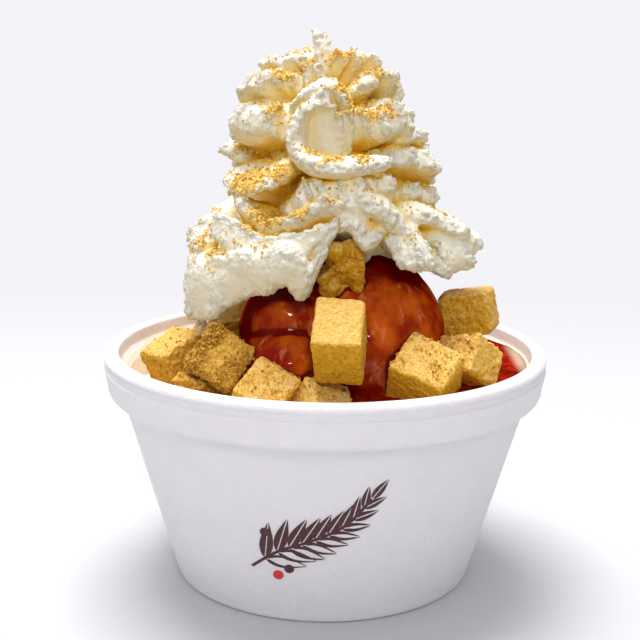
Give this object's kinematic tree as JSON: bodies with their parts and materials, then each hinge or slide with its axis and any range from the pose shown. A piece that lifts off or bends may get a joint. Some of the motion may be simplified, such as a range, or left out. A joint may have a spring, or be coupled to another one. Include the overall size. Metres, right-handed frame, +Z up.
{
  "type": "strawberry cheesecake sundae",
  "caption": "Ice cream sundae in a round foam bowl: glazed scoops in strawberry sauce, cheesecake cubes and a tall ruffled swirl of whipped cream.",
  "frame": {"origin": "centre of the bowl's foot, on the surface it stands on", "axes": "+Z up along the bowl's axis, -Y towards the front of the sundae as pictured, +X to its right"},
  "size_m": [0.117, 0.117, 0.1434],
  "materials": {
    "foam": "white expanded foam with a fine bead texture, matt",
    "sauce": "deep red translucent strawberry sauce, wet gloss",
    "glazed_ice_cream": "ice cream under a thin orange-red strawberry glaze, wet gloss",
    "whipped_cream": "whipped cream, off-white, softly satin, with golden crumbs",
    "cheesecake": "baked cheesecake, golden yellow with darker crumbs, matt"
  },
  "bodies": {
    "root": {"bowl": "foam", "strawberry_sauce": "sauce", "scoop_right": "glazed_ice_cream", "scoop_left": "glazed_ice_cream", "scoop_back": "glazed_ice_cream", "whipped_cream": "whipped_cream", "cheesecake_cube_01": "cheesecake", "cheesecake_cube_02": "cheesecake", "cheesecake_cube_03": "cheesecake", "cheesecake_cube_04": "cheesecake", "cheesecake_cube_05": "cheesecake", "cheesecake_cube_06": "cheesecake", "cheesecake_cube_07": "cheesecake", "cheesecake_cube_08": "cheesecake", "cheesecake_cube_09": "cheesecake", "cheesecake_cube_10": "cheesecake", "cheesecake_cube_11": "cheesecake", "cheesecake_cube_12": "cheesecake", "cheesecake_cube_13": "cheesecake", "cheesecake_cube_14": "cheesecake", "cheesecake_cube_15": "cheesecake", "cheesecake_cube_16": "cheesecake", "cheesecake_cube_17": "cheesecake", "cheesecake_cube_18": "cheesecake", "cheesecake_cube_19": "cheesecake"}
  },
  "joints": []
}
